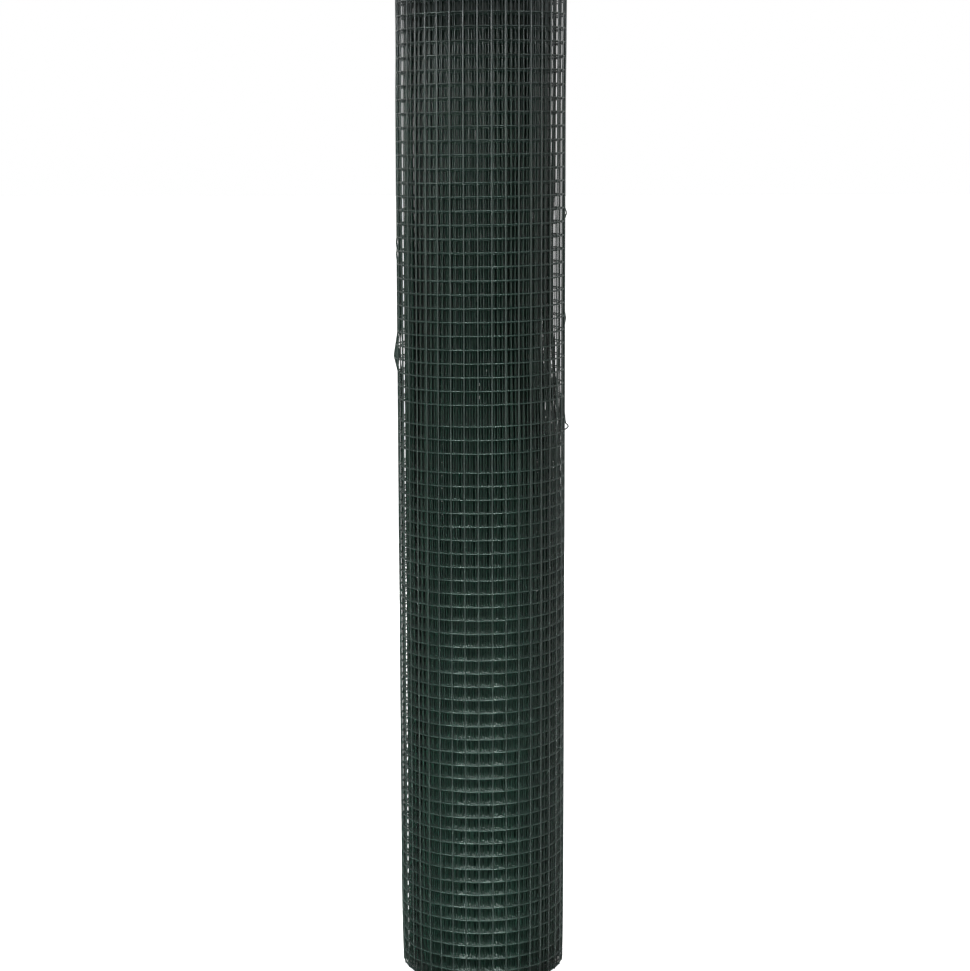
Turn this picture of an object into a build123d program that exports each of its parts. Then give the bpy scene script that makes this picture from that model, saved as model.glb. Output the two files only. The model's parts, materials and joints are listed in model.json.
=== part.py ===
"""Roll of plastic-coated welded wire mesh, standing on one end.

Millimetres, +Z up. The origin is on the axis of the roll, on the floor that it stands on.
The roll is one solid, the wound sheet with its bore. The gaps between its turns show in both
ends as one spiral groove, and the free edge of the sheet is a step down the side.
"""
import os

from build123d import *

# Roll as it stands
roll_height = 914.0
roll_radius = 78.6
bore_radius = 14.0

# Sheet of mesh that is wound up in it
wire_dia = 0.9
turns = 33
loose_turns = 3
loose_extra = 1.6

# Relief of the turns in both ends: the tight ones lie so close that a ridge stands for two of them
groove_depth = 4.0
turns_per_ridge = 2
tight_ridges = (turns - loose_turns) // turns_per_ridge

# Growth of the radius over a turn of the sheet, where it is wound tight and where it is loose
wound_depth = roll_radius - wire_dia - bore_radius
tight_pitch = (wound_depth - loose_turns * loose_extra) / turns
loose_pitch = tight_pitch + loose_extra

# Radius of the ridge's inner and outer face at its start and after every half turn of the spiral
tight_growth = turns_per_ridge * tight_pitch / 2
growths = [tight_growth] * (2 * tight_ridges) + [loose_pitch / 2] * (2 * loose_turns)
inner_faces = [bore_radius + sum(growths[:k]) for k in range(len(growths) + 1)]

tight_width = (turns_per_ridge - 1) * tight_pitch + wire_dia
widths = [tight_width] * (2 * tight_ridges) + [wire_dia] * (2 * loose_turns + 1)
outer_faces = [radius + width for radius, width in zip(inner_faces, widths)]


def wind(radii):
    """Half-turn arcs, counter-clockwise, that cross the X axis at these radii, first on its + side."""
    for k, (start, end) in enumerate(zip(radii, radii[1:])):
        side = 1 if k % 2 == 0 else -1
        CenterArc(
            center=(side * (start - end) / 2, 0),
            radius=(start + end) / 2,
            start_angle=0 if side > 0 else 180,
            arc_size=180,
        )


with BuildPart() as mesh_roll:
    # Wound sheet: its last turn is the outline, and the free edge is the step that closes it
    with BuildSketch():
        with BuildLine():
            wind(outer_faces[-3:])
            Line((outer_faces[-1], 0), (outer_faces[-3], 0))
        make_face()
        Circle(bore_radius, mode=Mode.SUBTRACT)
    extrude(amount=roll_height)

    # Gap between each turn and the one inside it, from the second turn out to the free edge
    for level, depth in ((0, groove_depth), (roll_height, -groove_depth)):
        with BuildSketch(Plane.XY.offset(level)):
            with BuildLine():
                wind(outer_faces[:-2])
                wind(inner_faces[2:])
                Line((outer_faces[0], 0), (inner_faces[2], 0))
                Line((outer_faces[-3], 0), (inner_faces[-1], 0))
            make_face()
        extrude(amount=depth, mode=Mode.SUBTRACT)

mesh_roll.part.label = "mesh_roll"

os.makedirs("parts", exist_ok=True)
export_step(mesh_roll.part, "parts/mesh_roll.step")
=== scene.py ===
"""Roll of dark green coated welded wire mesh, standing on one end, dressed on its CAD frame.

Metres, +Z up, the CAD's own frame: the origin on the axis of the roll, on the floor. The sheet is
made wire by wire: cross wires stand upright, line wires run round in the winding's spiral.
"""

import json
import math

import bpy
import numpy as np
from mathutils import Euler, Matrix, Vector


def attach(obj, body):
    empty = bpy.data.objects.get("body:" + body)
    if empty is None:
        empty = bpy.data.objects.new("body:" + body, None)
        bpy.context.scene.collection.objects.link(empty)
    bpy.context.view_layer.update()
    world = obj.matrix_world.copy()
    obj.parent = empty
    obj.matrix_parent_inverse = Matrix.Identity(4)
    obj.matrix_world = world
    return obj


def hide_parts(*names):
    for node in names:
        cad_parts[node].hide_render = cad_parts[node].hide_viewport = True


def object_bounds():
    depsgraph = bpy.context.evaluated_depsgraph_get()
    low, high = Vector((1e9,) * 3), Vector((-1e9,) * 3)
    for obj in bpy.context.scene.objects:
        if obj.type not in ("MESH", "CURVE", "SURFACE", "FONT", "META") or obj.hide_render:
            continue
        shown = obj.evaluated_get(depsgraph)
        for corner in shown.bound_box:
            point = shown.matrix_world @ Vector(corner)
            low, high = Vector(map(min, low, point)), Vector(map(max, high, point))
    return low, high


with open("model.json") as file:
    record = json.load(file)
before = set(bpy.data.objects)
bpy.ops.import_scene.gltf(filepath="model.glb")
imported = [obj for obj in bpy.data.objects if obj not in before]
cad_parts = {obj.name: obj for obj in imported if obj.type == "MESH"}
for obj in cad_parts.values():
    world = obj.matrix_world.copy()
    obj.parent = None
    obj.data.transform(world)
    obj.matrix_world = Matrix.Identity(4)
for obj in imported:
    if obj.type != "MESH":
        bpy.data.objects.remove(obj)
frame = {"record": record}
cad_low, cad_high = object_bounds()

# Sheet of mesh
MM = 0.001
WIRE_RADIUS = 0.5 * MM
OUTER_WIRE_RADIUS = 0.72 * MM  # of the last turn, the thickest to the eye under its dust
LEFT_THINNING = 0.28  # share of that which the last turn's uprights lose towards the left
THINNING_POWER = 4  # the higher, the nearer to the left it sets in
DEEP_WIRE_RADIUS = 0.57 * MM  # of the turns that only show between the others, to close them
SET_IN = 0.2 * MM  # how far the crossing wires are pressed into each other by the weld
SHEET_THICKNESS = 4 * WIRE_RADIUS - SET_IN
LONG_PITCH = 12.7 * MM  # from one upright wire to the next
OVERHANG = OUTER_WIRE_RADIUS  # wire ends past the last crossing
TOP_ENDS = 3.5 * MM  # wire ends that stand above the top edge
OPENINGS = 72
FINE_STEPS = 36
TALL_OPENINGS = {39: 1.4, 42: 1.58}  # counted from the bottom, in shares of a plain opening

# Winding, from the bore out to the free edge
TURNS = 33
WINDING_POINTS = 40000  # at which its length is summed up
FRONT_TURN = 0.25  # turns before the free edge where the sheet last passes the front
LEFT_TURN = 0.5  # the same on the left
LOOSE_TURNS = 5
LOOSE_HEIGHTS = np.array([0, 110, 170, 500, 600, 720, 800, 914]) * MM
LOOSE_LEFT = np.array([0.0, 0.2, 0.3, 0.3, 0.2, 0.2, 0.2, 0.2]) * MM  # extra gap of each loose turn
LOOSE_RIGHT = np.array([-0.5, -0.5, -0.5, -0.4, 0.0, 0.0, 0.0, 0.0]) * MM
LEFT_GAP = np.array([0.3, 0.5, 0.6, 0.6, 0.6, 0.4, 0.3, 0.2]) * MM  # extra gap of the last turn
LEFT_GAP_TURNS = (1.0, 0.65)  # turns before the free edge over which that gap opens
RIGHT_GAP = np.array([0.0, 0.0, 0.0, 0.0, 6.4, 6.6, 4.6, 5.0]) * MM  # extra gap of the last turns
RIGHT_GAP_TURNS = (3.3, 1.1)
INNER_SPACING = 1.2  # share of the even spacing at the bore, where the turns lie looser
UNEVEN_PITCH = 0.25  # share by which a turn's spacing may differ from the even one
WANDER = 1.6 * MM  # sideways wander of an inner turn over the height, for each wave
WAVES = 3
UNRULY_TURNS = 8  # turns from the outside over which the wander grows to its full size
EVEN_TURNS = 5  # outer turns whose upright wires stand evenly between each other in front
EVEN_STEP = 0.4  # share of an opening from one turn's upright to the next turn's
INNER_DROPS = (1.2, 2.8)  # least and most that an inner turn hangs lower at the top, in mm
OUTER_DROPS = [2.6, 2.2, 1.6, 0.6, 0.0]  # of the last turns, in mm
DROP_HEIGHTS = (250 * MM, 750 * MM)  # heights over which a turn's drop grows to its full size
SWELL_HEIGHTS = np.array([0, 20, 60, 200, 300, 830, 870, 914]) * MM
SWELL_LEFT = np.array([-1.2, -0.6, 0.2, 0.5, 0.6, 0.5, -0.2, -0.1]) * MM
SWELL_RIGHT = np.array([-0.3, 0.0, 0.3, 0.5, 0.5, 0.3, 0.8, 1.0]) * MM
END_ANGLE = math.radians(1.4)
ROW_TILT = 0.8 * MM  # the rows stand this much higher on the free edge's side
TILT_START = 150 * MM  # height from which they do so in full
BENDS = [  # angle and reach to either side in degrees, height, way out, reach up and down in mm
    (180, 16, 590, 3.6, 21, 14),
    (180, 5, 695.5, 1.3, 5, 5),
    (180, 5, 684.5, 1.3, 5, 5),
    (0, 5, 720.5, 1.8, 5, 5),
    (0, 5, 623, 1.0, 6, 6),
]
BEND_START = 0.9  # turns before the free edge where the bends begin
BEND_RISE = 0.1  # turns over which they reach their full size

# Coatings
PLAIN_SHINE = (1.0, 1.0, 1.0)
GREEN_SHINE = (0.72, 1.0, 0.9)
COATINGS = {  # darker tone, paler tone and tint of the shine; painted shade darkens the inner turns, and the last turn is palest from dust and painted light
    # painted shade: the line wires inside the sheet are near black, as if shaded by the wires round them
    "shaded_line": [(0.0018, 0.0072, 0.0048), (0.0026, 0.0096, 0.0066), GREEN_SHINE],
    # painted shade: the uprights of the deep turns are darker, as if out of the light deep in the roll
    "deep_upright": [(0.0021, 0.0090, 0.0057), (0.0031, 0.0120, 0.0079), PLAIN_SHINE],
    # painted shade, less deep: the uprights of the loose turns are a step paler than the deep ones
    "half_shaded_upright": [(0.0053, 0.0268, 0.0168), (0.0078, 0.0358, 0.0235), PLAIN_SHINE],
    # the last turn is paler, partly from dust and partly as painted light, since it takes the most light
    "dust_and_painted_light_line": [(0.0105, 0.0265, 0.0205), (0.0150, 0.0340, 0.0270), GREEN_SHINE],
    "dust_and_painted_light_upright": [(0.028, 0.051, 0.042), (0.038, 0.065, 0.055), PLAIN_SHINE],
}
# Tones of painted light and shade on the free edge's side and at the top: axis, where one begins and is
# full, in metres, tone
PAINTED_END_TONES = {
    "half_shaded_upright": [
        # painted shade with a grey cast towards the free edge's side
        ("X", 0.025, 0.065, (0.0110, 0.0220, 0.0170)),
        # painted reflection: paler and greyer towards the top
        ("Z", 0.795, 0.925, (0.0215, 0.0310, 0.0305)),
    ],
    "dust_and_painted_light_line": [
        # painted shade with a grey cast towards the free edge's side
        ("X", 0.025, 0.065, (0.0170, 0.0270, 0.0230)),
        # painted shade: darker towards the top
        ("Z", 0.700, 0.860, (0.0060, 0.0095, 0.0085)),
    ],
    "dust_and_painted_light_upright": [
        # painted shade with a grey cast towards the free edge's side
        ("X", 0.025, 0.065, (0.0345, 0.0480, 0.0430)),
        # painted reflection: paler and greyer towards the top
        ("Z", 0.795, 0.925, (0.0550, 0.0670, 0.0670)),
    ],
}
ROUGHNESS = 0.45
COAT_WEIGHT = 0.3
COAT_ROUGHNESS = 0.32
TONE_SCALE = 60.0  # of the noise between the darker and the paler tone
TONE_DETAIL = 3.0
TONE_STOPS = (0.3, 0.7)  # places on the noise where each tone is full

# Pieces
LINES = [  # name, coating, first and last turn, wire radius, sides, parts of an opening, at the ends
    ("inner_lines", "shaded_line", 0, 17, DEEP_WIRE_RADIUS, 4, 1, 4),
    ("middle_lines", "shaded_line", 17, 24, DEEP_WIRE_RADIUS, 4, 1, 3),
    ("packed_lines", "shaded_line", 24, 28, DEEP_WIRE_RADIUS, 4, 1, 3),
    ("loose_lines", "shaded_line", 28, 32, DEEP_WIRE_RADIUS, 4, 2, 3),
    ("outer_lines", "dust_and_painted_light_line", 32, 33, OUTER_WIRE_RADIUS, 6, 3, 3),
]
UPRIGHTS = [  # name, coating, first and last turn, wire radius, sides, steps
    ("deep_uprights", "deep_upright", 0, 28, DEEP_WIRE_RADIUS, 4, 10),
    ("loose_uprights", "half_shaded_upright", 28, 32, WIRE_RADIUS, 5, 18),
    ("outer_uprights", "dust_and_painted_light_upright", 32, 33, OUTER_WIRE_RADIUS, 6, FINE_STEPS),
]
FRAYED_SHARES = np.linspace(-0.35, 0.9, 9)  # of the way out of the largest bend
FRAYED_POINTS = 12
HOOK_RADIUS = 0.65 * MM
HOOK_ROW = 41
HOOK = np.array([  # way out from the axis and height above its row, in mm
    (76.3, -2), (79.4, -0.6), (81.9, 1.4), (81.8, 3.4), (79.9, 5.2),
    (79.2, 8.5), (78.7, 15), (77.6, 22.5), (76.5, 29),
]) * MM
HOOK_PARTS = 4  # points of the wire for each of these
CELL_REACH = 0.45  # from the middle of a face's cell to its corners, in shares of the cell

# Size of the CAD's solid
BORE_RADIUS = frame["record"]["mounts"][0]["dims"]["r_mm"] * MM
ROLL_RADIUS = cad_high[0]
HEIGHT = cad_high[2] - cad_low[2]

# Unevenness of the turns, drawn at random
rng = np.random.default_rng(28)
even_spacing = np.linspace(INNER_SPACING, 2 - INNER_SPACING, TURNS)
turn_spacing = even_spacing + UNEVEN_PITCH * rng.uniform(-1, 1, TURNS)
spacing_sum = np.concatenate([[0], np.cumsum(turn_spacing)]) * TURNS / turn_spacing.sum()
unrest = np.clip((TURNS - np.arange(TURNS + 1)) / UNRULY_TURNS, 0, 1) ** 2
wave_size = rng.uniform(-1, 1, (WAVES, TURNS + 1)) * unrest
wave_start = rng.uniform(0, 2 * math.pi, (WAVES, TURNS + 1))
turn_drop = np.append(rng.uniform(*INNER_DROPS, TURNS + 1 - len(OUTER_DROPS)), OUTER_DROPS) * MM


def row_heights():
    """Height of every line wire, from the bottom edge to the top one."""
    shares = np.array([TALL_OPENINGS.get(k, 1.0) for k in range(OPENINGS)])
    edges = np.concatenate([[0.0], np.cumsum(shares)]) / shares.sum()
    return OVERHANG + edges * (HEIGHT - 2 * OVERHANG)


def smooth(x):
    """0 to 1, level at both ends."""
    x = np.clip(x, 0.0, 1.0)
    return x * x * (3 - 2 * x)


def spline(values, places):
    """Smooth curve through values at 0, 1, 2 and so on, read at these places."""
    padded = np.concatenate([[2 * values[0] - values[1]], values, [2 * values[-1] - values[-2]]])
    k = np.clip(np.floor(places).astype(int), 0, len(values) - 2)
    t = places - k
    a, b, c, d = (padded[k + n] for n in range(4))
    return b + t / 2 * (c - a + t * (2 * a - 5 * b + 4 * c - d + t * (3 * (b - c) + d - a)))


def left_and_right(angle, z, heights, left, right):
    """Value at an angle and height, from one course on the left and one on the right."""
    right_share = (1 + np.cos(angle)) / 2
    return np.interp(z, heights, left) * (1 - right_share) + np.interp(z, heights, right) * right_share


def middle_radius(turn, z):
    """Radius of the middle of the sheet, where the two layers of wire meet."""
    angle = angle_at(turn)
    first = BORE_RADIUS + SHEET_THICKNESS / 2
    last = ROLL_RADIUS - SHEET_THICKNESS / 2
    extra = left_and_right(angle, z, LOOSE_HEIGHTS, LOOSE_LEFT, LOOSE_RIGHT)
    left_gap = left_and_right(angle, z, LOOSE_HEIGHTS, LEFT_GAP, 0 * LEFT_GAP)
    right_gap = left_and_right(angle, z, LOOSE_HEIGHTS, 0 * RIGHT_GAP, RIGHT_GAP)
    swell = left_and_right(angle, z, SWELL_HEIGHTS, SWELL_LEFT, SWELL_RIGHT) * turn / TURNS
    tight = (last - first - LOOSE_TURNS * extra - left_gap - right_gap) / TURNS
    even = np.interp(turn, np.arange(TURNS + 1), spacing_sum)
    loose = extra * np.maximum(turn - (TURNS - LOOSE_TURNS), 0)
    apart = left_gap * opened(turn, LEFT_GAP_TURNS) + right_gap * opened(turn, RIGHT_GAP_TURNS)
    return first + tight * even + loose + apart + swell


def opened(turn, gap_turns):
    """Share of a gap that is open at a turn, from none to all over a stretch before the free edge."""
    start, end = gap_turns
    return smooth((turn - (TURNS - start)) / (start - end))


def angle_at(turn):
    """Angle round the axis, counter-clockwise from +X."""
    return 2 * math.pi * turn + END_ANGLE


def bend(turn, z):
    """Way that the outer turn is bent out of its round at a few places."""
    way = 0
    for degrees, reach, height, out, up, down in BENDS:
        above = (z - height * MM) / MM
        peak = np.clip(1 - np.where(above > 0, above / up, -above / down), 0, 1)
        aside = np.angle(np.exp(1j * (angle_at(turn) - math.radians(degrees))))
        way = way + out * MM * peak * np.exp(-((aside / math.radians(reach)) ** 2))
    return way * smooth((turn - (TURNS - BEND_START)) / BEND_RISE)


def wander(turn, z):
    """Sideways wander of the inner turns, different at each height."""
    steps = np.arange(TURNS + 1)
    shift = 0
    for wave in range(WAVES):
        size = np.interp(turn, steps, wave_size[wave])
        start = np.interp(turn, steps, wave_start[wave])
        shift = shift + WANDER * size * np.sin(2 * math.pi * (wave + 0.5) * z / HEIGHT + start)
    return shift


def cross_wire_turns():
    """Place of every upright wire along the winding, in turns from the bore, the free edge last."""
    turn = np.linspace(0, TURNS, WINDING_POINTS)
    radius = middle_radius(turn, HEIGHT / 2)
    length = np.concatenate([[0], np.cumsum((radius[1:] + radius[:-1]) / 2 * np.diff(turn))])
    length *= 2 * math.pi
    place = (length[-1] - length) / LONG_PITCH
    back = np.arange(EVEN_TURNS + 2)
    front = TURNS - FRONT_TURN - back
    natural = np.interp(front, turn, place)
    slip = (natural[0] + EVEN_STEP * back - natural + 0.5) % 1 - 0.5
    slip[-1] = 0
    place = place + np.interp(turn, front[::-1], slip[::-1])
    return np.interp(np.arange(int(place[0]), -1, -1), place[::-1], turn[::-1])


def around(turn, z, offset):
    """Points of the sheet at these turns and heights, moved out of its middle by an offset."""
    middle = middle_radius(turn, z)
    angle = angle_at(turn) + wander(turn, z) / middle
    offset = offset + bend(turn, z)
    x = (middle + offset) * np.cos(angle)
    y = (middle + offset) * np.sin(angle)
    lift = ROW_TILT * np.cos(angle) * smooth(z / TILT_START)
    drop = np.interp(turn, np.arange(TURNS + 1), turn_drop)
    drop = drop * smooth((z - DROP_HEIGHTS[0]) / (DROP_HEIGHTS[1] - DROP_HEIGHTS[0]))
    return np.stack(np.broadcast_arrays(x, y, z + lift - drop), axis=-1)


def tubes(paths, across, other, sides, radius):
    """Round wires along paths of shape (wires, points, 3), as vertices, quads and end caps."""
    wires, points, _ = paths.shape
    way = 2 * math.pi * (np.arange(sides) + 0.5) / sides
    ring = across[..., None, :] * np.cos(way)[:, None] + other[..., None, :] * np.sin(way)[:, None]
    verts = paths[..., None, :] + radius * ring
    index = np.arange(wires * points * sides).reshape(wires, points, sides)
    near, far = index[:, :-1], index[:, 1:]
    after = [np.roll(near, -1, axis=2), np.roll(far, -1, axis=2)]
    quads = np.stack([near, after[0], after[1], far], axis=-1).reshape(-1, 4)
    caps = np.concatenate([index[:, 0, ::-1], index[:, -1]])
    return verts.reshape(-1, 3), quads, caps


def line_wires(turn, heights, sides, radius):
    """Wires that run round the roll, through these turns, one at each height."""
    turn = np.broadcast_to(turn, (len(heights), len(turn)))
    z = np.broadcast_to(heights[:, None], turn.shape)
    paths = around(turn, z, SET_IN / 2 - WIRE_RADIUS)
    angle = angle_at(turn)
    outward = np.stack([np.cos(angle), np.sin(angle), np.zeros_like(angle)], axis=-1)
    upward = np.broadcast_to(np.array([0.0, 0.0, 1.0]), outward.shape)
    return tubes(paths, outward, upward, sides, radius)


def upright_heights(steps):
    """Heights at which an upright wire has a ring: even steps, and the bent places if it is fine."""
    z = np.linspace(0, HEIGHT + TOP_ENDS, steps + 1)
    if steps >= FINE_STEPS:
        for _, _, height, _, up, down in BENDS:
            z = np.append(z, (height + np.array([up, up / 2, 0, -down / 2, -down])) * MM)
    return np.sort(z)


def frayed_wires(sides):
    """Short strands that fill the largest bend in the outer turn."""
    _, _, height, _, up, down = BENDS[0]
    z = np.linspace(height - down, height + up, FRAYED_POINTS) * MM
    left = TURNS - LEFT_TURN - END_ANGLE / (2 * math.pi)
    turn = np.full((len(FRAYED_SHARES), FRAYED_POINTS), left)
    z = np.broadcast_to(z, turn.shape)
    paths = around(turn, z, WIRE_RADIUS - SET_IN / 2 - (1 - FRAYED_SHARES[:, None]) * bend(turn, z))
    across = np.broadcast_to(np.array([1.0, 0.0, 0.0]), paths.shape)
    other = np.broadcast_to(np.array([0.0, 1.0, 0.0]), paths.shape)
    return tubes(paths, across, other, sides, OUTER_WIRE_RADIUS)


def hook_wire(rows, sides):
    """End of one line wire, bent out and up at the free edge."""
    count = len(HOOK)
    places = np.linspace(0, count - 1, HOOK_PARTS * count)
    out, up = (spline(HOOK[:, k], places) for k in (0, 1))
    z = rows[HOOK_ROW] + ROW_TILT + up
    path = np.stack([out * math.cos(END_ANGLE), out * math.sin(END_ANGLE), z], axis=-1)
    along = np.gradient(path, axis=0)
    along /= np.linalg.norm(along, axis=1)[:, None]
    across = np.broadcast_to(np.array([-math.sin(END_ANGLE), math.cos(END_ANGLE), 0.0]), path.shape)
    return tubes(path[None], across[None], np.cross(along, across)[None], sides, HOOK_RADIUS)


def thinned(radius, turn):
    """Radius of each upright wire at these turns, smaller towards the left."""
    left_share = (1 - np.cos(angle_at(turn[:, None, None, None]))) / 2
    return radius * (1 - LEFT_THINNING * left_share**THINNING_POWER)


def cross_wires(turn, steps, sides, radius):
    """Upright wires at these turns, over the whole height."""
    z = upright_heights(steps)
    turn = np.broadcast_to(turn[:, None], (len(turn), len(z)))
    z = np.broadcast_to(z, turn.shape)
    paths = around(turn, z, WIRE_RADIUS - SET_IN / 2)
    angle = angle_at(turn)
    outward = np.stack([np.cos(angle), np.sin(angle), np.zeros_like(angle)], axis=-1)
    along = np.stack([-np.sin(angle), np.cos(angle), np.zeros_like(angle)], axis=-1)
    return tubes(paths, outward, along, sides, radius)


def face_map(mesh):
    """Map named OFBake for baking the colours: every face in a square cell of its own."""
    count = len(mesh.polygons)
    starts, totals = np.empty(count, dtype=np.int32), np.empty(count, dtype=np.int32)
    mesh.polygons.foreach_get("loop_start", starts)
    mesh.polygons.foreach_get("loop_total", totals)
    face = np.repeat(np.arange(count), totals)
    way = 2 * math.pi * (np.arange(len(face)) - starts[face] + 0.5) / totals[face]
    cells = math.ceil(math.sqrt(count))
    across = (face % cells + 0.5 + CELL_REACH * np.cos(way)) / cells
    up = (face // cells + 0.5 + CELL_REACH * np.sin(way)) / cells
    layer = mesh.uv_layers.new(name="OFBake")
    layer.data.foreach_set("uv", np.stack([across, up], axis=-1).ravel())


def mesh_object(name, groups, material):
    """One joined mesh from several groups of wires."""
    verts, faces, start = [], [], 0
    for group_verts, quads, caps in groups:
        verts.append(group_verts)
        faces.extend((quads + start).tolist())
        faces.extend((caps + start).tolist())
        start += len(group_verts)
    mesh = bpy.data.meshes.new(name)
    mesh.from_pydata(np.concatenate(verts), [], faces)
    mesh.polygons.foreach_set("use_smooth", np.ones(len(faces), dtype=bool))
    mesh.materials.append(material)
    face_map(mesh)
    piece = bpy.data.objects.new(name, mesh)
    bpy.context.scene.collection.objects.link(piece)
    return piece


def between(turn, parts):
    """The same turns with every stretch between two of them cut into equal parts."""
    share = np.arange(parts) / parts
    fine = turn[:-1, None] + np.diff(turn)[:, None] * share
    return np.append(fine.ravel(), turn[-1])


def coating(name, dark, pale, shine):
    """Dark green plastic coating, a little uneven between two tones, with its end tones of painted light
    and shade mixed in.
    """
    material = bpy.data.materials.new(name)
    material.use_nodes = True
    nodes, links = material.node_tree.nodes, material.node_tree.links
    shader = nodes["Principled BSDF"]
    shader.inputs["Roughness"].default_value = ROUGHNESS
    shader.inputs["Specular Tint"].default_value = (*shine, 1)
    shader.inputs["Coat Weight"].default_value = COAT_WEIGHT
    shader.inputs["Coat Roughness"].default_value = COAT_ROUGHNESS
    place = nodes.new("ShaderNodeTexCoord")
    noise = nodes.new("ShaderNodeTexNoise")
    noise.inputs["Scale"].default_value = TONE_SCALE
    noise.inputs["Detail"].default_value = TONE_DETAIL
    ramp = ramp_node(nodes, list(zip(TONE_STOPS, (dark, pale))))
    links.new(place.outputs["Object"], noise.inputs["Vector"])
    links.new(noise.outputs["Fac"], ramp.inputs["Fac"])
    split = nodes.new("ShaderNodeSeparateXYZ")
    links.new(place.outputs["Object"], split.inputs["Vector"])
    tone = ramp.outputs["Color"]
    for axis, start, full, painted_tone in PAINTED_END_TONES.get(name, []):
        share = nodes.new("ShaderNodeMapRange")
        share.interpolation_type = "SMOOTHSTEP"
        share.inputs["From Min"].default_value = start
        share.inputs["From Max"].default_value = full
        mix = nodes.new("ShaderNodeMix")
        mix.data_type = "RGBA"
        mix.inputs["B"].default_value = (*painted_tone, 1)
        links.new(split.outputs[axis], share.inputs["Value"])
        links.new(share.outputs["Result"], mix.inputs["Factor"])
        links.new(tone, mix.inputs["A"])
        tone = mix.outputs["Result"]
    links.new(tone, shader.inputs["Base Color"])
    return material


def add_piece(name, groups, material):
    """One piece of the roll, which takes the place of the CAD's solid."""
    piece = mesh_object(name, groups, material)
    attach(piece, "root")
    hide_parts("mesh_roll")


def build_roll():
    """The wound sheet, line wires and uprights in pieces of a few turns each."""
    coats = {name: coating(name, *tones) for name, tones in COATINGS.items()}
    rows = row_heights()
    ends, inside = rows[[0, -1]], rows[1:-1]
    turn = cross_wire_turns()
    for name, coat, first, last, radius, sides, parts, end_parts in LINES:
        start, stop = np.searchsorted(turn, [first, last])
        some = turn[start : stop + 1]
        groups = [
            line_wires(between(some, parts), inside, sides, radius),
            line_wires(between(some, end_parts), ends, sides, radius),
        ]
        if last == TURNS:
            groups.append(hook_wire(rows, sides))
        add_piece(name, groups, coats[coat])
    for name, coat, first, last, radius, sides, steps in UPRIGHTS:
        some = turn[(turn >= first) & (turn <= last)]
        if last == TURNS:
            groups = [cross_wires(some, steps, sides, thinned(radius, some)), frayed_wires(sides)]
        else:
            groups = [cross_wires(some, steps, sides, radius)]
        add_piece(name, groups, coats[coat])


# Studio
IMAGE_WIDTH, IMAGE_HEIGHT = 970, 971
FOCAL_PX = 2240.0
CAMERA_DISTANCE = 2.0945
CAMERA_HEIGHT = 0.788
CAMERA_RIGHT = 0.0036
CAMERA_DOWN = math.radians(8.76)
CAMERA_ROLL = math.radians(0.13)
SENSOR_MM = 36.0
FLOOR_SIZE = 60
FLOOR_TONE = 0.9
FLOOR_ROUGHNESS = 0.9
FLOOR_GLOW = 1.0
FLOOR_PAINTED_SHADE = (0.9, 1.02)  # shares of the roll's radius between which the floor turns from a painted shadow under the roll to pale
BAND_STRENGTH = 0.62
# Strength of the band by height above the horizon in degrees, and from behind to the camera's side
BAND_LIGHT = [(-90, 0.5), (-12, 0.5), (-3, 0.6), (2, 2.0), (20, 2.0), (26, 0.15), (90, 0.1)]
FRONT_LIGHT = [(0.0, 0.9), (0.4, 0.9), (0.5, 1.1), (0.72, 1.0), (0.9, 0.25), (1.0, 0.25)]
# Name, azimuth from the camera's side, height above the horizon and size in degrees, strength
FAR_LIGHTS = [
    ("high_light", -8, 70, 20, 0.8),
]
BOX_POWER = 4.8
FILL_POWER = 30
LEFT_SIDE_POWER = 1.1
RIGHT_SIDE_POWER = 0.44
LOW_POWER = 0.8
BACK_POWER = 32
# Name, azimuth, distance, height, height aimed at, size, spread, power, whether it fills, makes glints
SOFT_BOXES = [
    ("left_box", -31.5, 2.0, 1.75, -0.1, 0.5, 40, BOX_POWER, False, True),
    ("right_box", 19, 2.0, 1.75, -0.1, 0.5, 40, BOX_POWER, False, True),
    ("fill_box", 0, 2.1, 0.8, 0.45, 0.5, 180, FILL_POWER, True, False),
    ("low_fill_box", 0, 2.1, 0.65, 0.12, 0.5, 25, LOW_POWER, True, False),
    ("left_back_box", -165, 2.1, 0.9, 0.45, 0.5, 180, BACK_POWER, True, False),
    ("right_back_box", 165, 2.1, 0.9, 0.45, 0.5, 180, BACK_POWER, True, False),
    ("left_side_box", -70, 1.5, 1.1, 1.0, 0.5, 30, LEFT_SIDE_POWER, False, True),
    ("right_side_box", 60, 1.5, 1.1, 1.0, 0.5, 30, RIGHT_SIDE_POWER, False, True),
]


def place_camera():
    """Camera at the photo's viewing angle."""
    data = bpy.data.cameras.new("camera")
    data.sensor_width = SENSOR_MM
    data.lens = FOCAL_PX / max(IMAGE_WIDTH, IMAGE_HEIGHT) * SENSOR_MM
    camera = bpy.data.objects.new("camera", data)
    bpy.context.scene.collection.objects.link(camera)
    camera.location = (CAMERA_RIGHT, -CAMERA_DISTANCE, CAMERA_HEIGHT)
    look = Euler((math.pi / 2 - CAMERA_DOWN, 0, 0)).to_matrix()
    camera.rotation_euler = (look @ Euler((0, 0, -CAMERA_ROLL)).to_matrix()).to_euler()
    bpy.context.scene.camera = camera


def far_light(name, azimuth, elevation, size, strength):
    """Distant soft light, at an azimuth from the camera's side and a height above the horizon."""
    data = bpy.data.lights.new(name, "SUN")
    data.angle = math.radians(size)
    data.energy = strength
    light = bpy.data.objects.new(name, data)
    bpy.context.scene.collection.objects.link(light)
    way, up = math.radians(azimuth), math.radians(elevation)
    source = Vector((math.sin(way) * math.cos(up), -math.cos(way) * math.cos(up), math.sin(up)))
    light.rotation_euler = source.to_track_quat("Z", "Y").to_euler()


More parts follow.
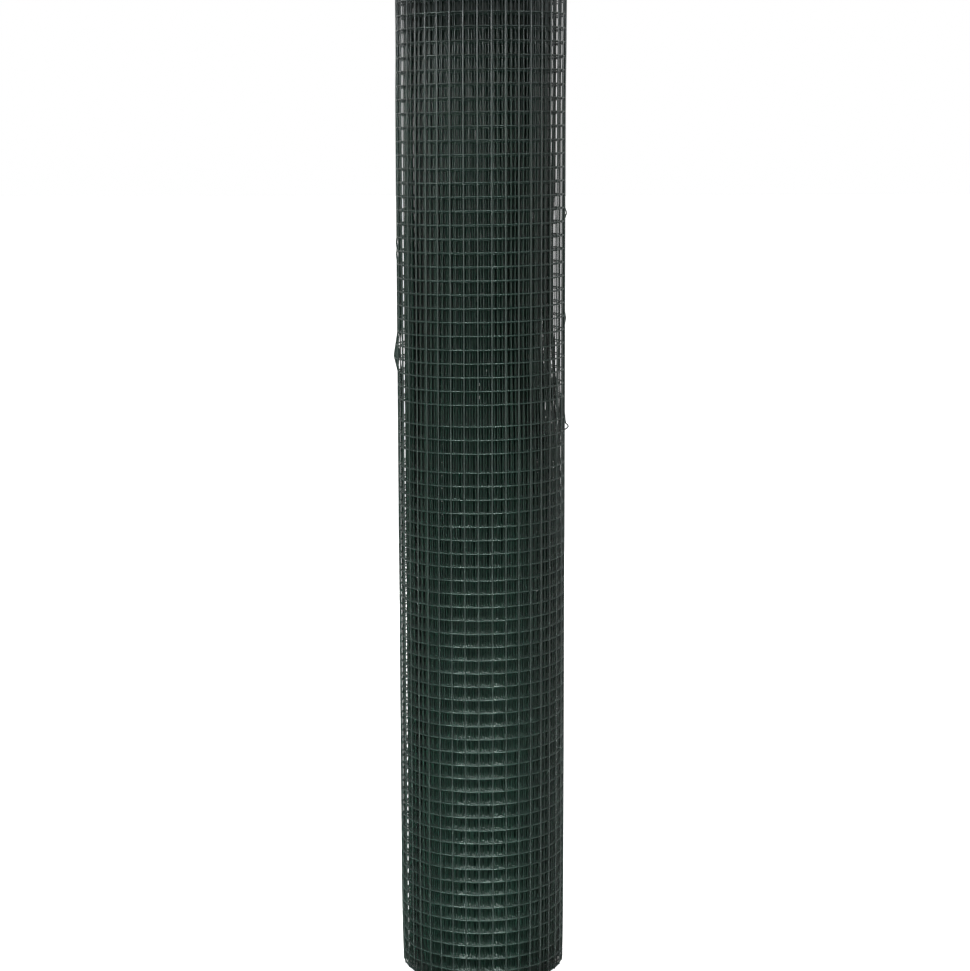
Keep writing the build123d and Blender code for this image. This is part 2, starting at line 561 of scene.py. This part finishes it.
def soft_box(name, azimuth, distance, height, aim, size, spread, power, fill, glint):
    """Soft box at an azimuth from the camera's side, aimed at the axis of the roll."""
    data = bpy.data.lights.new(name, "AREA")
    data.size = size
    data.spread = math.radians(spread)
    data.energy = power
    light = bpy.data.objects.new(name, data)
    bpy.context.scene.collection.objects.link(light)
    way = math.radians(azimuth)
    light.location = (distance * math.sin(way), -distance * math.cos(way), height)
    towards = Vector((0, 0, aim)) - light.location
    light.rotation_euler = towards.to_track_quat("-Z", "Y").to_euler()
    light.visible_diffuse = fill
    light.visible_glossy = glint


def ramp_node(nodes, stops):
    """Colour ramp through these (place, grey value or colour) stops."""
    ramp = nodes.new("ShaderNodeValToRGB")
    elements = ramp.color_ramp.elements
    while len(elements) < len(stops):
        elements.new(0.5)
    for element, (place, value) in zip(elements, stops):
        element.position = place
        element.color = (*value, 1) if isinstance(value, tuple) else (value, value, value, 1)
    return ramp


def pale_floor():
    """Large pale floor that the roll stands on, with a painted shadow where the roll covers it."""
    bpy.ops.mesh.primitive_plane_add(size=FLOOR_SIZE, location=(0, 0, 0))
    floor = bpy.context.object
    floor.name = "floor"
    material = bpy.data.materials.new("floor")
    material.use_nodes = True
    nodes, links = material.node_tree.nodes, material.node_tree.links
    shader = nodes["Principled BSDF"]
    shader.inputs["Base Color"].default_value = (FLOOR_TONE, FLOOR_TONE, FLOOR_TONE, 1)
    shader.inputs["Roughness"].default_value = FLOOR_ROUGHNESS
    place = nodes.new("ShaderNodeTexCoord")
    length = nodes.new("ShaderNodeVectorMath")
    length.operation = "LENGTH"
    painted_shade_until, pale_from = (share * ROLL_RADIUS for share in FLOOR_PAINTED_SHADE)
    ramp = ramp_node(nodes, [(painted_shade_until, 0.0), (pale_from, 1.0)])
    links.new(place.outputs["Object"], length.inputs[0])
    links.new(length.outputs["Value"], ramp.inputs["Fac"])
    links.new(ramp.outputs["Color"], shader.inputs["Emission Color"])
    shader.inputs["Emission Strength"].default_value = FLOOR_GLOW
    floor.data.materials.append(material)
    floor.visible_diffuse = False
    floor.visible_glossy = False
    floor.visible_shadow = False


def height_place(elevation):
    """Place on the world's ramp of a height above the horizon, in degrees."""
    return 0.5 + 0.5 * math.sin(math.radians(elevation))


def studio():
    """White backdrop, a band of soft light round the horizon, a high light and soft boxes."""
    world = bpy.data.worlds.new("studio")
    bpy.context.scene.world = world
    world.use_nodes = True
    nodes, links = world.node_tree.nodes, world.node_tree.links
    place = nodes.new("ShaderNodeTexCoord")
    split = nodes.new("ShaderNodeSeparateXYZ")
    share = nodes.new("ShaderNodeMapRange")
    share.inputs["From Min"].default_value = -1.0
    band = ramp_node(nodes, [(height_place(e), value) for e, value in BAND_LIGHT])
    links.new(place.outputs["Generated"], split.inputs["Vector"])
    links.new(split.outputs["Z"], share.inputs["Value"])
    links.new(share.outputs["Result"], band.inputs["Fac"])
    front = ramp_node(nodes, FRONT_LIGHT)
    turned = nodes.new("ShaderNodeMapRange")
    turned.inputs["From Min"].default_value = 1.0
    turned.inputs["From Max"].default_value = -1.0
    links.new(split.outputs["Y"], turned.inputs["Value"])
    links.new(turned.outputs["Result"], front.inputs["Fac"])
    both = nodes.new("ShaderNodeMix")
    both.data_type = "RGBA"
    both.blend_type = "MULTIPLY"
    both.inputs["Factor"].default_value = 1.0
    links.new(band.outputs["Color"], both.inputs["A"])
    links.new(front.outputs["Color"], both.inputs["B"])
    soft = nodes["Background"]
    links.new(both.outputs["Result"], soft.inputs["Color"])
    soft.inputs["Strength"].default_value = BAND_STRENGTH
    backdrop = nodes.new("ShaderNodeBackground")
    backdrop.inputs["Color"].default_value = (1, 1, 1, 1)
    path = nodes.new("ShaderNodeLightPath")
    mix = nodes.new("ShaderNodeMixShader")
    links.new(path.outputs["Is Camera Ray"], mix.inputs["Fac"])
    links.new(soft.outputs["Background"], mix.inputs[1])
    links.new(backdrop.outputs["Background"], mix.inputs[2])
    links.new(mix.outputs["Shader"], nodes["World Output"].inputs["Surface"])
    bpy.context.scene.view_settings.view_transform = "Standard"
    for light in FAR_LIGHTS:
        far_light(*light)
    for box in SOFT_BOXES:
        soft_box(*box)


build_roll()
pale_floor()
studio()
place_camera()
